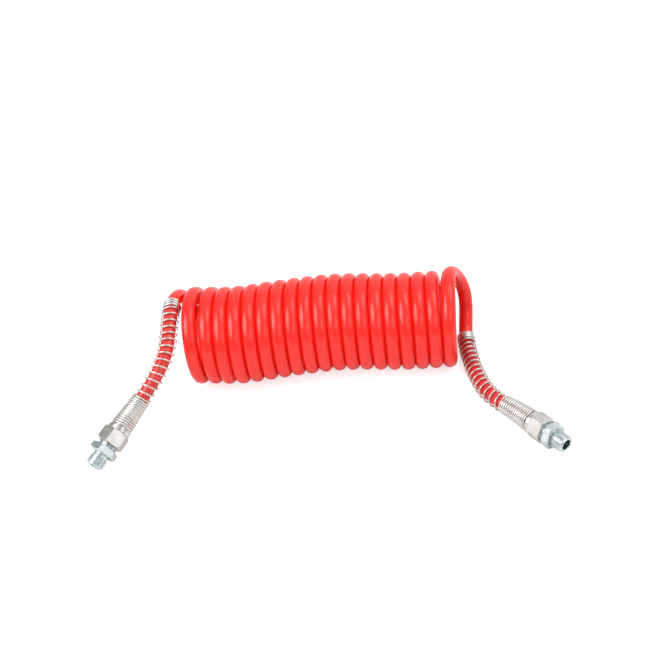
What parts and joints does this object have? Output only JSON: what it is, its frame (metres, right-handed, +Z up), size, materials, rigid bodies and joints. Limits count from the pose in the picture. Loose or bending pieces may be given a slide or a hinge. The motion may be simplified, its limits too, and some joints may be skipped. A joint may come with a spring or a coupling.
{
  "type": "coiled air hose",
  "caption": "Red coiled air hose with a metal compression fitting, a male threaded port and a steel kink guard spring at each end.",
  "frame": {"origin": "middle of the small flat under the coil's middle turn, on the surface that the hose lies on", "axes": "+X along the coil's axis to the end whose tail leaves at the bottom, +Y away from the two ports, +Z up"},
  "size_m": [0.4131, 0.1952, 0.0924],
  "materials": {
    "hose": "gloss",
    "spring_wire": "bright zinc",
    "nut": "zinc plated",
    "nipple": "blue zinc plated",
    "inner_brass": "turned"
  },
  "bodies": {
    "hose": {"hose_coil": "hose", "hose_tail_left": "hose", "hose_tail_right": "hose", "nipple_left": "nipple", "nipple_right": "nipple", "clamp_ring_left": "inner_brass", "clamp_ring_right": "inner_brass", "support_sleeve_left": "inner_brass", "support_sleeve_right": "inner_brass"},
    "left_guard": {"guard_spring_left": "spring_wire"},
    "left_nut": {"union_nut_left": "nut"},
    "right_guard": {"guard_spring_right": "spring_wire"},
    "right_nut": {"union_nut_right": "nut"}
  },
  "joints": [
    {"name": "left_nut_travel", "type": "slide", "parent": "hose", "child": "left_guard", "axis": [0.5957, 0.6925, 0.407], "range_m": [0, 0.00825], "deforming": ["guard_spring_left"]},
    {"name": "left_nut_turn", "type": "hinge", "parent": "left_guard", "child": "left_nut", "pos_m": [-0.1876, -0.10884, 0.01882], "axis": [0.5957, 0.6925, 0.407], "range_deg": [0, 1980]},
    {"name": "right_nut_travel", "type": "slide", "parent": "hose", "child": "right_guard", "axis": [-0.5942, 0.8043, 0], "range_m": [0, 0.00825], "deforming": ["guard_spring_right"]},
    {"name": "right_nut_turn", "type": "hinge", "parent": "right_guard", "child": "right_nut", "pos_m": [0.17915, -0.12225, 0.0111], "axis": [-0.5942, 0.8043, 0], "range_deg": [0, 1980]}
  ],
  "couplings": [
    {"joint": "left_nut_travel", "follows": "left_nut_turn", "m_per_rad": 0.00023873},
    {"joint": "right_nut_travel", "follows": "right_nut_turn", "m_per_rad": 0.00023873}
  ]
}
